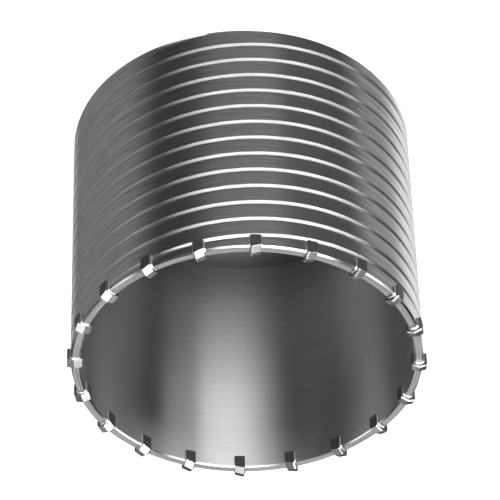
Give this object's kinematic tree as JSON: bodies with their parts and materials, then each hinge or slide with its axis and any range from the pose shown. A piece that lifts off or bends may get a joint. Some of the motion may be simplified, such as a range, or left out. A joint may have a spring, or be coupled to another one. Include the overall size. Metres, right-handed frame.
{
  "type": "carbide-tipped core bit",
  "caption": "Hollow cylindrical core bit with a spiral-grooved steel barrel, brazed carbide tips round its rim and a threaded back plate.",
  "frame": {"origin": "middle of the back face, on the axis, at the driven end", "axes": "+Z along the axis from the driven end to the teeth; -Y is the front side that the picture shows"},
  "size_m": [0.155, 0.155, 0.1305],
  "materials": {
    "barrel_steel": "turned, with fine rings",
    "carbide": "sintered sides and ground crowns",
    "plate_steel": "turned"
  },
  "bodies": {
    "root": {"barrel": "barrel_steel", "back_plate": "plate_steel", "tip_01": "carbide", "tip_02": "carbide", "tip_03": "carbide", "tip_04": "carbide", "tip_05": "carbide", "tip_06": "carbide", "tip_07": "carbide", "tip_08": "carbide", "tip_09": "carbide", "tip_10": "carbide", "tip_11": "carbide", "tip_12": "carbide", "tip_13": "carbide", "tip_14": "carbide", "tip_15": "carbide", "tip_16": "carbide", "tip_17": "carbide", "tip_18": "carbide", "tip_19": "carbide", "tip_20": "carbide"}
  },
  "joints": []
}
